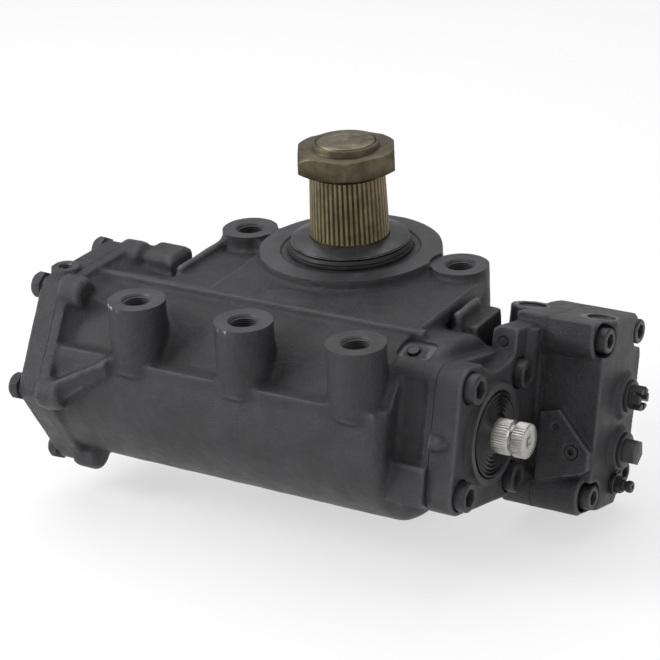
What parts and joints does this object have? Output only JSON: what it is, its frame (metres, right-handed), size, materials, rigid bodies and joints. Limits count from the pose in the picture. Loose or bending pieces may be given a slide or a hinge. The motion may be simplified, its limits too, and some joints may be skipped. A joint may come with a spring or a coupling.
{
  "type": "power steering gear",
  "caption": "Hydraulic recirculating-ball power steering gear with splined sector shaft, worm input shaft, flange-mounted valve housing and port block.",
  "frame": {"origin": "centre of the four corner mounting holes, in the plane of the machined boss tops", "axes": "+Z along the sector shaft towards the pitman arm, +X along the worm towards the input shaft, +Y from the worm to the sector shaft"},
  "size_m": [0.4174, 0.2625, 0.2615],
  "materials": {
    "casting": "satin black paint over a rough sand casting",
    "machined_paint": "satin black paint over machined faces",
    "phosphate": "olive-brown phosphate on turned steel",
    "steel": "bright ground steel",
    "black_screw": "black oxide with thin paint",
    "rubber": "gloss black rubber",
    "dark_steel": "dark hardened steel",
    "gasket": "dull sheet gasket"
  },
  "bodies": {
    "root": {"housing": "casting", "end_cover": "casting", "end_cover_seal": "rubber", "end_cover_screws": "black_screw", "cover_port_plug": "black_screw", "sector_cover": "casting", "sector_cover_seal": "rubber", "sector_cover_screws": "black_screw", "upper_sector_bearing": "steel", "lower_sector_bearing": "steel", "sector_seal": "rubber", "seal_retaining_ring": "dark_steel", "adjuster_screw": "dark_steel", "adjuster_lock_nut": "dark_steel", "inner_thrust_bearing": "steel", "outer_thrust_bearing": "steel", "input_bearing": "steel", "input_lip_seal": "rubber", "valve_housing": "casting", "valve_housing_seal": "rubber", "valve_housing_screws": "black_screw", "block_gasket": "gasket", "valve_block": "casting", "valve_block_screws": "black_screw", "port_plugs": "machined_paint", "limiter_adjuster": "black_screw", "spool_plug": "black_screw", "bleed_screw": "black_screw", "gallery_plugs": "black_screw", "front_pad_plug": "black_screw", "spool_spring": "dark_steel", "limiter_spring": "dark_steel"},
    "sector": {"sector_shaft": "phosphate", "pitman_nut": "phosphate", "dust_disc": "dark_steel"},
    "piston": {"rack_piston": "steel", "piston_ring": "dark_steel", "ball_return_tube": "steel", "recirculating_balls": "steel"},
    "worm": {"worm_shaft": "steel"},
    "input": {"input_shaft": "steel", "torsion_bar": "steel", "torsion_pin": "steel", "input_dust_seal": "rubber"},
    "spool": {"changeover_spool": "steel"},
    "poppet": {"limiter_poppet": "steel"}
  },
  "joints": [
    {"name": "worm_turn", "type": "hinge", "parent": "root", "child": "worm", "pos_m": [0, -0.0237, -0.0761], "axis": [1, 0, 0], "range_deg": [-882.1, 882.1]},
    {"name": "piston_slide", "type": "slide", "parent": "root", "child": "piston", "axis": [1, 0, 0], "range_m": [-0.0392, 0.0392]},
    {"name": "sector_turn", "type": "hinge", "parent": "root", "child": "sector", "pos_m": [0.002, 0.0693, 0], "axis": [0, 0, 1], "range_deg": [-45, 45]},
    {"name": "input_twist", "type": "hinge", "parent": "worm", "child": "input", "pos_m": [0, -0.0237, -0.0761], "axis": [1, 0, 0], "range_deg": [-4, 4], "stiffness_Nm_per_rad": 60},
    {"name": "spool_slide", "type": "slide", "parent": "root", "child": "spool", "axis": [1, 0, 0], "range_m": [0, 0.008], "stiffness_N_per_m": 800, "springref_m": -0.006, "deforming": ["spool_spring"]},
    {"name": "poppet_slide", "type": "slide", "parent": "root", "child": "poppet", "axis": [1, 0, 0], "range_m": [0, 0.005], "stiffness_N_per_m": 1500, "springref_m": -0.004, "deforming": ["limiter_spring"]}
  ],
  "couplings": [
    {"joint": "worm_turn", "follows": "piston_slide", "rad_per_m": -392.7},
    {"joint": "sector_turn", "follows": "piston_slide", "rad_per_m": 20}
  ]
}
